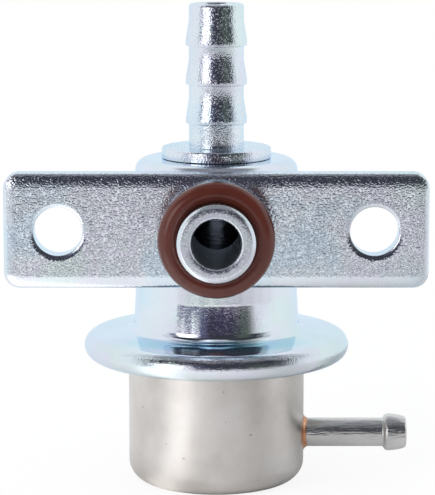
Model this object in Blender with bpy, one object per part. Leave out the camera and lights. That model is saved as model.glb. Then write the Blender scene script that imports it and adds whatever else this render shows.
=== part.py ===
"""Fuel pressure regulator with a bolted inlet flange, a barbed return pipe and a vacuum nipple.

The regulator stands on the flat end of its spring can: +Z runs up along the return pipe, -Y points
out of the inlet spigot towards the fuel rail, and the vacuum nipple points along +X.
All sizes are in metres.
"""

import math

import bmesh
import bpy
from mathutils import Vector

# How finely round pieces are faceted
LARGE_SIDES = 36
MEDIUM_SIDES = 28
SMALL_SIDES = 22
CORNER_STEPS = 4
EDGE_STEPS = 2
HEM_STEPS = 8
HEM_INNER_STEPS = 5
BALL_STEPS = 10

# Clearances between pieces
CLOSE_FIT = 0.00006
MERGE_DISTANCE = 0.000001
CUTTER_OVERRUN = 0.002

# Spring can, drawn from sheet, with a flared rim that the housing is rolled over
CAN_OUTER_R = 0.0125
CAN_WALL = 0.0010
CAN_CORNER_R = 0.0029
CAN_DEPTH = 0.0189
CAN_FLARE_R = 0.0010

# Upper housing, drawn from sheet, rolled round the can's rim at its lower edge
HOUSING_OUTER_R = 0.01148
HOUSING_WALL = 0.0010
HOUSING_HEIGHT = 0.0247
HOUSING_SHOULDER_R = 0.00175
HOUSING_BASE_R = 0.0015
HEM_OUTER_R = 0.0188
HEM_LIP_WIDTH = 0.0014

# Diaphragm, fabric-reinforced rubber with one moulded convolution
DIAPHRAGM_THICKNESS = 0.00065
CONVOLUTION_PLATE_GAP = 0.0001
CONVOLUTION_RIM_GAP = 0.0007
CONVOLUTION_DEPTH = 0.0016
CONVOLUTION_STEPS = 8

# Plates that hold the diaphragm's centre
UPPER_PLATE_STEP = 0.0001
UPPER_PLATE_THICKNESS = 0.0006
LOWER_PLATE_THICKNESS = 0.0006
LOWER_PLATE_RIM = 0.00135
LOWER_PLATE_RIM_WALL = 0.0007

# Valve carrier, turned, riveted through both plates and the diaphragm
CARRIER_R = 0.0056
CARRIER_HEIGHT = 0.00665
CARRIER_CHAMFER = 0.0004
CARRIER_BORE_FLOOR = 0.0012
STEM_R = 0.0032
RIVET_HEAD_R = 0.0039
RIVET_HEAD_HEIGHT = 0.0007
POCKET_R = 0.00195
POCKET_DEPTH = 0.00255

# Valve ball with a ground flat, its retaining ring and the small spring under it
BALL_R = 0.0035
BALL_DROP = 0.0018
BALL_FLAT_HEIGHT = 0.00196
BALL_CLEARANCE = 0.0001
RETAINER_INNER_R = 0.00336
RETAINER_OUTER_R = 0.0043
RETAINER_THICKNESS = 0.0005
BALL_SPRING_R = 0.00135
BALL_SPRING_WIRE = 0.00035
BALL_SPRING_TURNS = 4.0
BALL_SPRING_STEPS = 10
BALL_SPRING_CROWN = 0.0001

# Main spring, closed and ground at both ends
SPRING_WIRE = 0.0017
SPRING_REST_MARGIN = 0.00115
SPRING_RIM_PLAY = 0.00045
SPRING_BOSS_PLAY = 0.00085
SPRING_TURNS = 5.5
SPRING_COIL_GAP = 0.00008
SPRING_STEPS = 18
WIRE_SIDES = 8

# Pressed cup that centres the main spring on the can's floor
REST_CORNER_GAP = 0.0013
REST_THICKNESS = 0.0007
REST_BOSS_HEIGHT = 0.00185
REST_HOLE_R = 0.0015

# Return fitting: barbed pipe, collar and inner pipe turned as one piece
PIPE_R = 0.00386
PIPE_BORE_R = 0.0025
COLLAR_R = 0.0077
COLLAR_THICKNESS = 0.0015
COLLAR_EDGE_R = 0.0003
NECK_LENGTH = 0.00335
BARB_R = 0.0043
BARB_COUNT = 3
BARB_PITCH = 0.00545
BARB_FLARE = 0.0027
BARB_LAND = 0.00075
TIP_LENGTH = 0.0024
TIP_EDGE_R = 0.0005
BORE_CHAMFER = 0.00025

# Valve seat pressed into the inner pipe
SEAT_BORE_R = 0.0017
SEAT_TUBE_LENGTH = 0.0035
SEAT_FLANGE_R = 0.0030
SEAT_FLANGE_THICKNESS = 0.0006
VALVE_GAP = 0.0003

# Braze fillet under the housing's top, round the inner pipe
RETURN_BRAZE_LEG = 0.0007

# Inlet spigot, turned, with a groove for the seal
INLET_DROP = 0.0084
SPIGOT_R = 0.00525
SPIGOT_BORE_R = 0.00331
SPIGOT_REACH = 0.0110
SPIGOT_INSET = 0.00155
SPIGOT_TIP_LAND = 0.0021
SPIGOT_TIP_CHAMFER = 0.0005
SPIGOT_MOUTH_CHAMFER = 0.00025
SHOULDER_R = 0.0073
SHOULDER_CHAMFER = 0.0003

# Seal ring in the spigot's groove
SEAL_SECTION = 0.0030
SEAL_OUTER_R = 0.00785
SEAL_SIDES = 12

# Mounting plate, punched from strip, with two bolt holes
BOLT_SPACING = 0.0431
BOLT_HOLE_R = 0.00335
BOLT_ROLL = 0.0007
PLATE_END = 0.00745
PLATE_HEIGHT = 0.01575
PLATE_THICKNESS = 0.0032
PLATE_CORNER_R = 0.0021
PLATE_SADDLE_DEPTH = 0.00085
EDGE_ROLL_WIDTH = 0.0013
EDGE_ROLL_DEPTH = 0.0008

# Vacuum nipple, with a bulb that holds the hose, and its braze ring
NIPPLE_HEIGHT = 0.0066
NIPPLE_R = 0.00205
NIPPLE_BORE_R = 0.0011
NIPPLE_REACH = 0.0272
NIPPLE_INSET = 0.0006
NIPPLE_TIP_R = 0.00185
BULB_R = 0.00265
BULB_TAPER = 0.00235
BULB_START = 0.0007
BULB_CROWN = 0.0004
NIPPLE_BRAZE_WIDTH = 0.00053
NIPPLE_BRAZE_HEIGHT = 0.0005

# Heights and radii that follow from the sizes above
can_inner_r = CAN_OUTER_R - CAN_WALL
rest_r = CAN_OUTER_R - CAN_CORNER_R - REST_CORNER_GAP
spring_outer_r = rest_r - SPRING_REST_MARGIN
spring_r = spring_outer_r - SPRING_WIRE / 2
rest_boss_r = spring_outer_r - SPRING_WIRE - SPRING_BOSS_PLAY
lower_plate_r = spring_outer_r + SPRING_RIM_PLAY + LOWER_PLATE_RIM_WALL
upper_plate_r = lower_plate_r - UPPER_PLATE_STEP
convolution_inner_r = lower_plate_r + CONVOLUTION_PLATE_GAP
convolution_outer_r = CAN_OUTER_R + CAN_FLARE_R - CONVOLUTION_RIM_GAP
can_rim_top = CAN_DEPTH + CAN_WALL
diaphragm_bottom = can_rim_top + CLOSE_FIT
diaphragm_top = diaphragm_bottom + DIAPHRAGM_THICKNESS
flange_bottom = diaphragm_top + CLOSE_FIT
flange_top = flange_bottom + HOUSING_WALL
hem_bottom = CAN_DEPTH - CLOSE_FIT - HOUSING_WALL
hem_r = (flange_top - hem_bottom) / 2
hem_centre_z = (flange_top + hem_bottom) / 2
hem_centre_r = HEM_OUTER_R - hem_r
housing_top = flange_top + HOUSING_HEIGHT
upper_plate_bottom = diaphragm_top + CLOSE_FIT
carrier_bottom = upper_plate_bottom + UPPER_PLATE_THICKNESS + CLOSE_FIT
carrier_top = carrier_bottom + CARRIER_HEIGHT
carrier_bore_bottom = carrier_bottom + CARRIER_BORE_FLOOR
pocket_bottom = carrier_bore_bottom - POCKET_DEPTH
lower_plate_top = diaphragm_bottom - CLOSE_FIT
lower_plate_bottom = lower_plate_top - LOWER_PLATE_THICKNESS
rivet_top = lower_plate_bottom - CLOSE_FIT
ball_centre_z = carrier_top - BALL_DROP
seat_face_z = ball_centre_z + BALL_FLAT_HEIGHT + VALVE_GAP
inner_pipe_end = seat_face_z + SEAT_FLANGE_THICKNESS + CLOSE_FIT
inlet_z = housing_top - INLET_DROP
plate_back_y = -(HOUSING_OUTER_R + CLOSE_FIT - PLATE_SADDLE_DEPTH)
plate_front_y = plate_back_y - PLATE_THICKNESS
plate_width = BOLT_SPACING + 2 * PLATE_END
spigot_tip = -plate_front_y + SPIGOT_REACH


def clear_scene():
    """Remove whatever the open file holds."""
    for item in list(bpy.data.objects):
        bpy.data.objects.remove(item, do_unlink=True)


def finish(name, colour, metallic, roughness):
    """A Principled material in one colour."""
    material = bpy.data.materials.new(name)
    material.use_nodes = True
    shader = material.node_tree.nodes["Principled BSDF"]
    shader.inputs["Base Color"].default_value = (*colour, 1.0)
    shader.inputs["Metallic"].default_value = metallic
    shader.inputs["Roughness"].default_value = roughness
    return material


def arc(centre_r, centre_z, radius, start, end, steps=CORNER_STEPS):
    """Points of a round corner, with both ends; angles in degrees from +R towards +Z."""
    points = []
    for index in range(steps + 1):
        angle = math.radians(start + (end - start) * index / steps)
        points.append((centre_r + radius * math.cos(angle), centre_z + radius * math.sin(angle)))
    return points


def add_object(name, bm, material):
    """Turn a finished bmesh into a smooth-shaded object of its own."""
    bmesh.ops.remove_doubles(bm, verts=bm.verts, dist=MERGE_DISTANCE)
    bmesh.ops.recalc_face_normals(bm, faces=bm.faces)
    mesh = bpy.data.meshes.new(name)
    bm.to_mesh(mesh)
    bm.free()
    mesh.shade_smooth()
    mesh.set_sharp_from_angle(angle=math.radians(32))
    if material:
        mesh.materials.append(material)
    item = bpy.data.objects.new(name, mesh)
    bpy.context.collection.objects.link(item)
    return item


def turned(name, profile, sides, material=None, hollow=False):
    """Spin a profile of (radius, height) points about Z; a hollow one is closed into a loop."""
    bm = bmesh.new()
    verts = [bm.verts.new((radius, 0.0, height)) for radius, height in profile]
    edges = [bm.edges.new(pair) for pair in zip(verts, verts[1:])]
    if hollow:
        edges.append(bm.edges.new((verts[-1], verts[0])))
    bmesh.ops.spin(
        bm,
        geom=verts + edges,
        cent=(0.0, 0.0, 0.0),
        axis=(0.0, 0.0, 1.0),
        angle=2 * math.pi,
        steps=sides,
        use_merge=True,
    )
    return add_object(name, bm, material)


def face_along_minus_y(item, height):
    """Lay a turned piece down so that its +Z becomes -Y, on an axis at this height."""
    item.rotation_euler = (math.radians(90), 0.0, 0.0)
    item.location = (0.0, 0.0, height)


def face_along_x(item, height):
    """Lay a turned piece down so that its +Z becomes +X, on an axis at this height."""
    item.rotation_euler = (0.0, math.radians(90), 0.0)
    item.location = (0.0, 0.0, height)


def cut(item, cutter, operation="DIFFERENCE"):
    """Cut one object with another, which is kept as a wire guide."""
    cutter.hide_render = True
    cutter.display_type = "WIRE"
    modifier = item.modifiers.new(cutter.name, "BOOLEAN")
    modifier.operation = operation
    modifier.solver = "EXACT"
    modifier.object = cutter


def drill(name, radius, start, end, sides=SMALL_SIDES):
    """A plain round cutter along Z from start to end."""
    return turned(name, [(0.0, start), (radius, start), (radius, end), (0.0, end)], sides)


def coil_path(radius, turns, steps, height_at):
    """Points of a coil about Z, whose height is a function of the turns so far."""
    count = round(turns * steps)
    points = []
    for index in range(count + 1):
        turn = turns * index / count
        angle = 2 * math.pi * turn
        points.append(Vector((radius * math.cos(angle), radius * math.sin(angle), height_at(turn))))
    return points


def wire(name, path, wire_r, sides, material):
    """A round wire swept along a coil about Z, with flat ends."""
    bm = bmesh.new()
    rings = []
    for index, point in enumerate(path):
        ahead = path[min(index + 1, len(path) - 1)]
        behind = path[max(index - 1, 0)]
        along = (ahead - behind).normalized()
        outward = Vector((point.x, point.y, 0.0)).normalized()
        outward = (outward - along * outward.dot(along)).normalized()
        across = along.cross(outward)
        ring = []
        for side in range(sides):
            angle = 2 * math.pi * side / sides
            offset = outward * math.cos(angle) + across * math.sin(angle)
            ring.append(bm.verts.new(point + offset * wire_r))
        rings.append(ring)
    for lower, upper in zip(rings, rings[1:]):
        for side in range(sides):
            following = (side + 1) % sides
            bm.faces.new((lower[side], lower[following], upper[following], upper[side]))
    bm.faces.new(list(reversed(rings[0])))
    bm.faces.new(rings[-1])
    return add_object(name, bm, material)


def spring_can(material):
    """Deep-drawn can: flat end, straight wall, flared rim."""
    base_r = CAN_OUTER_R - CAN_CORNER_R
    flare_centre_r = CAN_OUTER_R + CAN_FLARE_R
    flare_centre_z = CAN_DEPTH - CAN_FLARE_R
    profile = [(0.0, 0.0)]
    profile += arc(base_r, CAN_CORNER_R, CAN_CORNER_R, -90, 0)
    profile += arc(flare_centre_r, flare_centre_z, CAN_FLARE_R, 180, 90)
    profile += [(hem_centre_r, CAN_DEPTH), (hem_centre_r, can_rim_top)]
    profile += arc(flare_centre_r, flare_centre_z, CAN_FLARE_R + CAN_WALL, 90, 180, EDGE_STEPS)
    profile += arc(base_r, CAN_CORNER_R, CAN_CORNER_R - CAN_WALL, 0, -90, EDGE_STEPS)
    profile += [(0.0, CAN_WALL)]
    can = turned("spring_can", profile, LARGE_SIDES, material)
    hole = drill("nipple_hole_cutter", NIPPLE_R + CLOSE_FIT, can_inner_r - CUTTER_OVERRUN,
                 CAN_OUTER_R + CUTTER_OVERRUN)
    face_along_x(hole, NIPPLE_HEIGHT)
    cut(can, hole)
    return can


def upper_housing(material):
    """Deep-drawn cup over the diaphragm, its edge rolled under the can's rim."""
    shoulder_r = HOUSING_OUTER_R - HOUSING_SHOULDER_R
    shoulder_z = housing_top - HOUSING_SHOULDER_R
    base_r = HOUSING_OUTER_R + HOUSING_BASE_R
    base_z = flange_top + HOUSING_BASE_R
    lip_r = hem_centre_r - HEM_LIP_WIDTH
    pipe_hole_r = PIPE_R + CLOSE_FIT
    profile = [(pipe_hole_r, housing_top)]
    profile += arc(shoulder_r, shoulder_z, HOUSING_SHOULDER_R, 90, 0)
    profile += arc(base_r, base_z, HOUSING_BASE_R, 180, 270)
    profile += arc(hem_centre_r, hem_centre_z, hem_r, 90, -90, HEM_STEPS)
    profile += [(lip_r, hem_bottom), (lip_r, hem_bottom + HOUSING_WALL)]
    profile += arc(hem_centre_r, hem_centre_z, hem_r - HOUSING_WALL, -90, 90, HEM_INNER_STEPS)
    profile += arc(base_r, base_z, HOUSING_BASE_R + HOUSING_WALL, 270, 180, EDGE_STEPS)
    profile += arc(shoulder_r, shoulder_z, HOUSING_SHOULDER_R - HOUSING_WALL, 0, 90, EDGE_STEPS)
    profile += [(pipe_hole_r, housing_top - HOUSING_WALL)]
    housing = turned("upper_housing", profile, LARGE_SIDES, material, hollow=True)
    hole = drill("inlet_hole_cutter", SPIGOT_R + CLOSE_FIT,
                 HOUSING_OUTER_R - HOUSING_WALL - SPIGOT_R, HOUSING_OUTER_R + CUTTER_OVERRUN,
                 MEDIUM_SIDES)
    face_along_minus_y(hole, inlet_z)
    cut(housing, hole)
    return housing


def diaphragm(material):
    """Flat rim and centre with one rolling convolution between them."""
    width = convolution_outer_r - convolution_inner_r

    def wave(radius):
        share = (radius - convolution_inner_r) / width
        return CONVOLUTION_DEPTH / 2 * (math.cos(2 * math.pi * share) - 1)

    radii = [convolution_inner_r + width * step / CONVOLUTION_STEPS for step in range(CONVOLUTION_STEPS + 1)]
    radii = [STEM_R + CLOSE_FIT] + radii + [hem_centre_r]
    heights = [0.0] + [wave(radius) for radius in radii[1:-1]] + [0.0]
    lower = [(radius, diaphragm_bottom + height) for radius, height in zip(radii, heights)]
    upper = [(radius, diaphragm_top + height) for radius, height in zip(radii, heights)]
    return turned("diaphragm", lower + upper[::-1], MEDIUM_SIDES, material, hollow=True)


def upper_diaphragm_plate(material):
    """Washer between the carrier and the diaphragm."""
    top = upper_plate_bottom + UPPER_PLATE_THICKNESS
    hole_r = STEM_R + CLOSE_FIT
    profile = [
        (hole_r, upper_plate_bottom),
        (upper_plate_r, upper_plate_bottom),
        (upper_plate_r, top),
        (hole_r, top),
    ]
    return turned("upper_diaphragm_plate", profile, MEDIUM_SIDES, material, hollow=True)


def lower_spring_plate(material):
    """Pressed cup under the diaphragm whose rim centres the main spring."""
    hole_r = STEM_R + CLOSE_FIT
    rim_inner_r = lower_plate_r - LOWER_PLATE_RIM_WALL
    rim_bottom = lower_plate_bottom - LOWER_PLATE_RIM
    profile = [
        (hole_r, lower_plate_top),
        (hole_r, lower_plate_bottom),
        (rim_inner_r, lower_plate_bottom),
        (rim_inner_r, rim_bottom),
        (lower_plate_r, rim_bottom),
    ]
    corner_r = LOWER_PLATE_THICKNESS
    profile += arc(lower_plate_r - corner_r, lower_plate_top - corner_r, corner_r, 0, 90, EDGE_STEPS)
    return turned("lower_spring_plate", profile, MEDIUM_SIDES, material, hollow=True)


def valve_carrier(material):
    """Turned body with a ball socket, a spring pocket and a riveted stem."""
    bore_r = BALL_R + BALL_CLEARANCE
    counterbore_r = RETAINER_OUTER_R + CLOSE_FIT
    counterbore_z = carrier_top - RETAINER_THICKNESS - CLOSE_FIT
    rivet_bottom = rivet_top - RIVET_HEAD_HEIGHT
    profile = [
        (0.0, pocket_bottom),
        (POCKET_R, pocket_bottom),
        (POCKET_R, carrier_bore_bottom),
        (bore_r, carrier_bore_bottom),
        (bore_r, counterbore_z),
        (counterbore_r, counterbore_z),
        (counterbore_r, carrier_top),
        (CARRIER_R - CARRIER_CHAMFER, carrier_top),
        (CARRIER_R, carrier_top - CARRIER_CHAMFER),
        (CARRIER_R, carrier_bottom),
        (STEM_R, carrier_bottom),
        (STEM_R, rivet_top),
        (RIVET_HEAD_R, rivet_top),
        (RIVET_HEAD_R, rivet_bottom + RIVET_HEAD_HEIGHT / 2),
        (RIVET_HEAD_R - RIVET_HEAD_HEIGHT / 2, rivet_bottom),
        (0.0, rivet_bottom),
    ]
    return turned("valve_carrier", profile, SMALL_SIDES, material)


def valve_ball(material):
    """Steel ball with a ground flat that closes the seat; its origin is its centre."""
    edge_angle = math.degrees(math.asin(BALL_FLAT_HEIGHT / BALL_R))
    profile = arc(0.0, 0.0, BALL_R, -90, edge_angle, BALL_STEPS)
    profile += [(0.0, BALL_FLAT_HEIGHT)]
    return turned("valve_ball", profile, SMALL_SIDES, material)


def ball_retainer(material):
    """Ring in the carrier's counterbore that keeps the ball in."""
    bottom = carrier_top - RETAINER_THICKNESS
    profile = [
        (RETAINER_INNER_R, bottom),
        (RETAINER_OUTER_R, bottom),
        (RETAINER_OUTER_R, carrier_top),
        (RETAINER_INNER_R, carrier_top),
    ]
    return turned("ball_retainer", profile, SMALL_SIDES, material, hollow=True)


def ball_spring(material):
    """Small coil spring in the carrier's pocket, under the ball."""
    wire_r = BALL_SPRING_WIRE / 2
    ball_under = ball_centre_z - math.sqrt(BALL_R ** 2 - (BALL_SPRING_R - wire_r) ** 2)
    low = pocket_bottom + CLOSE_FIT + wire_r
    high = ball_under - BALL_SPRING_CROWN - wire_r

    def height_at(turn):
        return low + (high - low) * turn / BALL_SPRING_TURNS

    path = coil_path(BALL_SPRING_R, BALL_SPRING_TURNS, BALL_SPRING_STEPS, height_at)
    return wire("ball_spring", path, wire_r, 6, material)


def main_spring(material):
    """Compression spring between the can's floor and the lower plate, ground flat at its ends."""
    bottom = CAN_WALL + REST_THICKNESS + 2 * CLOSE_FIT
    top = lower_plate_bottom - CLOSE_FIT
    closed_rise = SPRING_WIRE + SPRING_COIL_GAP
    open_turns = SPRING_TURNS - 2
    open_rise = (top - bottom - 2 * closed_rise) / open_turns

    def height_at(turn):
        if turn < 1:
            return bottom + closed_rise * turn
        if turn > SPRING_TURNS - 1:
            return top - closed_rise * (SPRING_TURNS - turn)
        return bottom + closed_rise + open_rise * (turn - 1)

    path = coil_path(spring_r, SPRING_TURNS, SPRING_STEPS, height_at)
    spring = wire("main_spring", path, SPRING_WIRE / 2, WIRE_SIDES, material)
    ground = drill("spring_grinding_cutter", spring_r + SPRING_WIRE, bottom, top, SPRING_STEPS)
    cut(spring, ground, "INTERSECT")
    return spring


def spring_rest(material):
    """Pressed cup on the can's floor with a boss inside the spring."""
    bottom = CAN_WALL + CLOSE_FIT
    top = bottom + REST_THICKNESS
    boss_inner_r = rest_boss_r - REST_THICKNESS
    profile = [
        (REST_HOLE_R, top + REST_BOSS_HEIGHT),
        (REST_HOLE_R, bottom + REST_BOSS_HEIGHT),
        (boss_inner_r, bottom + REST_BOSS_HEIGHT),
        (boss_inner_r, bottom),
        (rest_r, bottom),
        (rest_r, top),
        (rest_boss_r, top),
    ]
    corner_r = REST_THICKNESS
    corner_z = top + REST_BOSS_HEIGHT - corner_r
    profile += arc(rest_boss_r - corner_r, corner_z, corner_r, 0, 90, EDGE_STEPS)
    return turned("spring_rest", profile, MEDIUM_SIDES, material, hollow=True)


def return_fitting(material):
    """Barbed hose pipe, collar and inner pipe in one turned piece."""
    collar_bottom = housing_top + CLOSE_FIT
    collar_top = collar_bottom + COLLAR_THICKNESS
    outer = [(PIPE_R, inner_pipe_end), (PIPE_R, collar_bottom)]
    edge_r = COLLAR_R - COLLAR_EDGE_R
    outer += arc(edge_r, collar_bottom + COLLAR_EDGE_R, COLLAR_EDGE_R, -90, 0, EDGE_STEPS)
    outer += arc(edge_r, collar_top - COLLAR_EDGE_R, COLLAR_EDGE_R, 0, 90, EDGE_STEPS)
    outer += [(PIPE_R, collar_top)]
    for barb in range(BARB_COUNT):
        undercut = collar_top + NECK_LENGTH + BARB_PITCH * barb
        outer += [
            (PIPE_R, undercut),
            (BARB_R, undercut),
            (BARB_R, undercut + BARB_LAND),
            (PIPE_R, undercut + BARB_LAND + BARB_FLARE),
        ]
    tip = undercut + BARB_LAND + BARB_FLARE + TIP_LENGTH
    outer += arc(PIPE_R - TIP_EDGE_R, tip - TIP_EDGE_R, TIP_EDGE_R, 0, 90, EDGE_STEPS)
    bore = [
        (PIPE_BORE_R + BORE_CHAMFER, tip),
        (PIPE_BORE_R, tip - BORE_CHAMFER),
        (PIPE_BORE_R, inner_pipe_end),
    ]
    return turned("return_fitting", outer + bore, MEDIUM_SIDES, material, hollow=True)


def valve_seat(material):
    """Flanged bush pressed into the inner pipe; its lower face meets the ball's flat."""
    tube_r = PIPE_BORE_R - CLOSE_FIT
    flange_top_z = seat_face_z + SEAT_FLANGE_THICKNESS
    tube_top = flange_top_z + SEAT_TUBE_LENGTH
    profile = [
        (SEAT_BORE_R, seat_face_z),
        (SEAT_FLANGE_R, seat_face_z),
        (SEAT_FLANGE_R, flange_top_z),
        (tube_r, flange_top_z),
        (tube_r, tube_top),
        (SEAT_BORE_R, tube_top),
    ]
    return turned("valve_seat", profile, MEDIUM_SIDES, material, hollow=True)


def return_braze(material):
    """Copper fillet between the inner pipe and the underside of the housing's top."""
    inner_r = PIPE_R + CLOSE_FIT
    top = housing_top - HOUSING_WALL - CLOSE_FIT
    leg = RETURN_BRAZE_LEG
    profile = [(inner_r, top)]
    profile += arc(inner_r + leg, top - leg, leg, 180, 90, EDGE_STEPS)
    return turned("return_braze", profile, MEDIUM_SIDES, material, hollow=True)


def inlet_spigot(material):
    """Turned inlet stub: shank through plate and housing, shoulder, seal groove and tip."""
    inner_end = HOUSING_OUTER_R - HOUSING_WALL - SPIGOT_INSET
    shoulder_start = -plate_front_y + CLOSE_FIT
    seal_centre = spigot_tip - SPIGOT_TIP_LAND - CLOSE_FIT - SEAL_SECTION / 2
    groove_start = seal_centre - SEAL_SECTION / 2 - CLOSE_FIT
    groove_end = seal_centre + SEAL_SECTION / 2 + CLOSE_FIT
    groove_r = SEAL_OUTER_R - SEAL_SECTION - CLOSE_FIT
    profile = [
        (SPIGOT_BORE_R, inner_end),
        (SPIGOT_R, inner_end),
        (SPIGOT_R, shoulder_start),
        (SHOULDER_R - SHOULDER_CHAMFER, shoulder_start),
        (SHOULDER_R, shoulder_start + SHOULDER_CHAMFER),
        (SHOULDER_R, groove_start - SHOULDER_CHAMFER),
        (SHOULDER_R - SHOULDER_CHAMFER, groove_start),
        (groove_r, groove_start),
        (groove_r, groove_end),
        (SPIGOT_R, groove_end),
        (SPIGOT_R, spigot_tip - SPIGOT_TIP_CHAMFER),
        (SPIGOT_R - SPIGOT_TIP_CHAMFER, spigot_tip),
        (SPIGOT_BORE_R + SPIGOT_MOUTH_CHAMFER, spigot_tip),
        (SPIGOT_BORE_R, spigot_tip - SPIGOT_MOUTH_CHAMFER),
    ]
    spigot = turned("inlet_spigot", profile, MEDIUM_SIDES, material, hollow=True)
    face_along_minus_y(spigot, inlet_z)
    return spigot


def inlet_seal(material):
    """Fluoro-rubber ring in the spigot's groove."""
    section_r = SEAL_SECTION / 2
    centre = spigot_tip - SPIGOT_TIP_LAND - CLOSE_FIT - section_r
    profile = arc(SEAL_OUTER_R - section_r, centre, section_r, 0, 360, SEAL_SIDES)[:-1]
    ring = turned("inlet_o_ring", profile, MEDIUM_SIDES, material, hollow=True)
    face_along_minus_y(ring, inlet_z)
    return ring


def rounded_rectangle(width, height, corner_r):
    """Points of a rectangle with round corners, about the origin."""
    points = []
    half_x = width / 2 - corner_r
    half_z = height / 2 - corner_r
    for start, side_x, side_z in ((0, 1, 1), (90, -1, 1), (180, -1, -1), (270, 1, -1)):
        points += arc(side_x * half_x, side_z * half_z, corner_r, start, start + 90)
    return points


def mounting_plate(material):
    """Punched plate with a die-rolled front, two bolt holes and a saddle on the housing."""
    bm = bmesh.new()
    loops = []
    layers = [(0.0, plate_back_y)]
    for roll, depth in arc(0.0, 0.0, 1.0, 0, 90):
        layers.append((EDGE_ROLL_WIDTH * (1 - roll), plate_front_y + EDGE_ROLL_DEPTH * (1 - depth)))
    for inset, depth_y in layers:
        corner_r = max(PLATE_CORNER_R - inset, PLATE_CORNER_R / 4)
        outline = rounded_rectangle(plate_width - 2 * inset, PLATE_HEIGHT - 2 * inset, corner_r)
        loops.append([bm.verts.new((x, depth_y, inlet_z + z)) for x, z in outline])
    for first, second in zip(loops, loops[1:]):
        for index in range(len(first)):
            following = (index + 1) % len(first)
            bm.faces.new((first[index], first[following], second[following], second[index]))
    bm.faces.new(loops[0])
    bm.faces.new(loops[-1])
    plate = add_object("mounting_plate", bm, material)
    centre_hole = drill("plate_hole_cutter", SPIGOT_R + CLOSE_FIT,
                        -plate_back_y - CUTTER_OVERRUN, -plate_front_y + CUTTER_OVERRUN, MEDIUM_SIDES)
    face_along_minus_y(centre_hole, inlet_z)
    cut(plate, centre_hole)
    front = -plate_front_y
    mouth = [(BOLT_HOLE_R + BOLT_ROLL * (1 - across), front - BOLT_ROLL * (1 - along))
             for across, along in arc(0.0, 0.0, 1.0, 0, 90)]
    profile = [(0.0, -plate_back_y - CUTTER_OVERRUN), (BOLT_HOLE_R, -plate_back_y - CUTTER_OVERRUN)]
    profile += mouth
    profile += [(BOLT_HOLE_R + BOLT_ROLL, front + CUTTER_OVERRUN), (0.0, front + CUTTER_OVERRUN)]
    for side in (-1, 1):
        hole = turned(f"bolt_hole_cutter_{'right' if side > 0 else 'left'}", profile, MEDIUM_SIDES)
        face_along_minus_y(hole, inlet_z)
        hole.location.x = side * BOLT_SPACING / 2
        cut(plate, hole)
    saddle = drill("plate_saddle_cutter", HOUSING_OUTER_R + CLOSE_FIT,
                   inlet_z - PLATE_HEIGHT, inlet_z + PLATE_HEIGHT, LARGE_SIDES)
    cut(plate, saddle)
    return plate


def vacuum_nipple(material):
    """Thin pipe in the can's wall with a hose bulb at its end."""
    bulb_peak = NIPPLE_REACH - BULB_TAPER
    profile = [
        (NIPPLE_BORE_R, can_inner_r - NIPPLE_INSET),
        (NIPPLE_R, can_inner_r - NIPPLE_INSET),
        (NIPPLE_R, bulb_peak - BULB_START),
        (BULB_R, bulb_peak - BULB_CROWN / 2),
        (BULB_R, bulb_peak + BULB_CROWN / 2),
        (NIPPLE_TIP_R, NIPPLE_REACH),
        (NIPPLE_BORE_R, NIPPLE_REACH),
    ]
    nipple = turned("vacuum_nipple", profile, SMALL_SIDES, material, hollow=True)
    face_along_x(nipple, NIPPLE_HEIGHT)
    return nipple


def nipple_braze(material):
    """Copper fillet ring between the nipple and the can's wall."""
    inner_r = NIPPLE_R + CLOSE_FIT
    wall_x = CAN_OUTER_R + CLOSE_FIT
    profile = [(inner_r, wall_x - NIPPLE_R), (inner_r + NIPPLE_BRAZE_HEIGHT, wall_x - NIPPLE_R)]
    profile += [(inner_r + NIPPLE_BRAZE_HEIGHT * across, wall_x + NIPPLE_BRAZE_WIDTH * along)
                for across, along in arc(0.0, 0.0, 1.0, 0, 90, EDGE_STEPS)]
    ring = turned("nipple_braze", profile, SMALL_SIDES, material, hollow=True)
    face_along_x(ring, NIPPLE_HEIGHT)
    wall = drill("braze_wall_cutter", wall_x, 0.0, 2 * NIPPLE_HEIGHT, LARGE_SIDES)
    cut(ring, wall)
    return ring


clear_scene()

zinc = finish("zinc_plate", (0.70, 0.74, 0.80), 0.9, 0.32)
nickel = finish("nickel_plate", (0.72, 0.70, 0.66), 0.95, 0.28)
turned_steel = finish("turned_steel", (0.62, 0.63, 0.64), 1.0, 0.30)
spring_steel = finish("spring_steel", (0.22, 0.22, 0.23), 0.9, 0.42)
ball_steel = finish("ball_steel", (0.75, 0.75, 0.76), 1.0, 0.12)
brass = finish("brass", (0.75, 0.56, 0.27), 1.0, 0.30)
copper = finish("copper_braze", (0.72, 0.40, 0.24), 1.0, 0.35)
diaphragm_rubber = finish("diaphragm_rubber", (0.05, 0.05, 0.05), 0.0, 0.65)
seal_rubber = finish("seal_rubber", (0.26, 0.10, 0.07), 0.0, 0.42)

spring_can(nickel)
upper_housing(zinc)
diaphragm(diaphragm_rubber)
return_fitting(zinc)
valve_seat(turned_steel)
return_braze(copper)
mounting_plate(zinc)
inlet_spigot(zinc)
inlet_seal(seal_rubber)
vacuum_nipple(nickel)
nipple_braze(copper)
spring_rest(turned_steel)
main_spring(spring_steel)

valve_lift_axis = bpy.data.objects.new("valve_lift_axis", None)
bpy.context.collection.objects.link(valve_lift_axis)
carriage = [
    valve_carrier(turned_steel),
    upper_diaphragm_plate(turned_steel),
    lower_spring_plate(turned_steel),
    ball_retainer(brass),
    ball_spring(spring_steel),
]
for item in carriage:
    item.parent = valve_lift_axis

ball_swivel_axis = bpy.data.objects.new("ball_swivel_axis", None)
bpy.context.collection.objects.link(ball_swivel_axis)
ball_swivel_axis.location = (0.0, 0.0, ball_centre_z)
ball_swivel_axis.parent = valve_lift_axis
ball = valve_ball(ball_steel)
ball.parent = ball_swivel_axis
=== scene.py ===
"""Looks of a fuel pressure regulator: smooth plated shells, turned fittings, a rubber seal and the
spring and valve inside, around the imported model. All sizes are in metres.
"""

import math

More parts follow.
